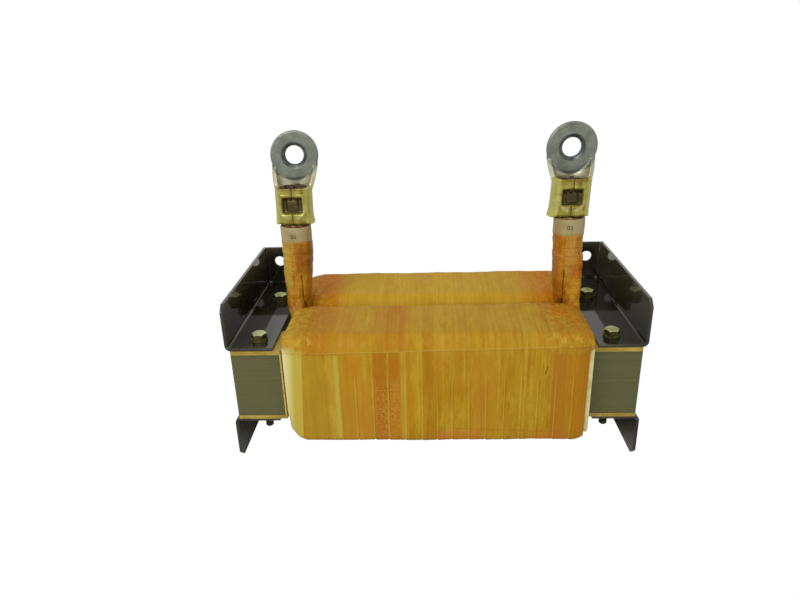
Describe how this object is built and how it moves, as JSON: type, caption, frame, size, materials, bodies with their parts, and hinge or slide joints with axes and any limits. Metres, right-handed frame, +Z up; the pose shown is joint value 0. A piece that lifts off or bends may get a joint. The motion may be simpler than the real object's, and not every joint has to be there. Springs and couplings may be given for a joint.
{
  "type": "dc reactor",
  "caption": "Choke with a gapped laminated iron core lying flat, taped coils side by side, folded clamp brackets and upright round leads that end in cable lugs.",
  "frame": {"origin": "centre of the rectangle of rear mounting holes, in the brackets' rear face, level with the core's mid-plane", "axes": "+X to the right along the core's limbs, +Y out of the rear face into the panel, +Z up along the leads"},
  "size_m": [0.3078, 0.1583, 0.2441],
  "materials": {
    "core_laminations": "satin, rolled sheet edges",
    "insulation_sheet": "smooth golden laminate",
    "gap_spacer": "pale laminate",
    "bracket_paint": "gloss dark olive paint",
    "zinc_fasteners": "yellow zinc",
    "bolt_sleeve": "plain",
    "former": "plain laminate",
    "winding": "enamelled copper turns",
    "coil_tape": "varnished cotton tape",
    "collar": "cream laminate",
    "lead_tape": "varnished tape",
    "conductor": "bare copper strands",
    "marker_sleeve": "pale tan sleeve",
    "lug": "tinned copper"
  },
  "bodies": {
    "root": {"yoke_left": "core_laminations", "yoke_right": "core_laminations", "limb_front": "core_laminations", "limb_rear": "core_laminations", "gap_spacer_left_front": "gap_spacer", "collar_left_front": "collar", "gap_spacer_left_rear": "gap_spacer", "collar_left_rear": "collar", "insulation_top_left": "insulation_sheet", "bracket_top_left": "bracket_paint", "insulation_bottom_left": "insulation_sheet", "bracket_bottom_left": "bracket_paint", "gap_spacer_right_front": "gap_spacer", "collar_right_front": "collar", "gap_spacer_right_rear": "gap_spacer", "collar_right_rear": "collar", "insulation_top_right": "insulation_sheet", "bracket_top_right": "bracket_paint", "insulation_bottom_right": "insulation_sheet", "bracket_bottom_right": "bracket_paint", "clamp_bolts": "zinc_fasteners", "clamp_nuts": "zinc_fasteners", "washers_top": "zinc_fasteners", "washers_bottom": "zinc_fasteners", "bolt_sleeves": "bolt_sleeve", "former_front": "former", "winding_front": "winding", "tape_front": "coil_tape", "former_rear": "former", "winding_rear": "winding", "tape_rear": "coil_tape", "lead_left": "lead_tape", "conductor_left": "conductor", "marker_sleeve_left": "marker_sleeve", "lug_left": "lug", "lead_right": "lead_tape", "conductor_right": "conductor", "marker_sleeve_right": "marker_sleeve", "lug_right": "lug"}
  },
  "joints": []
}
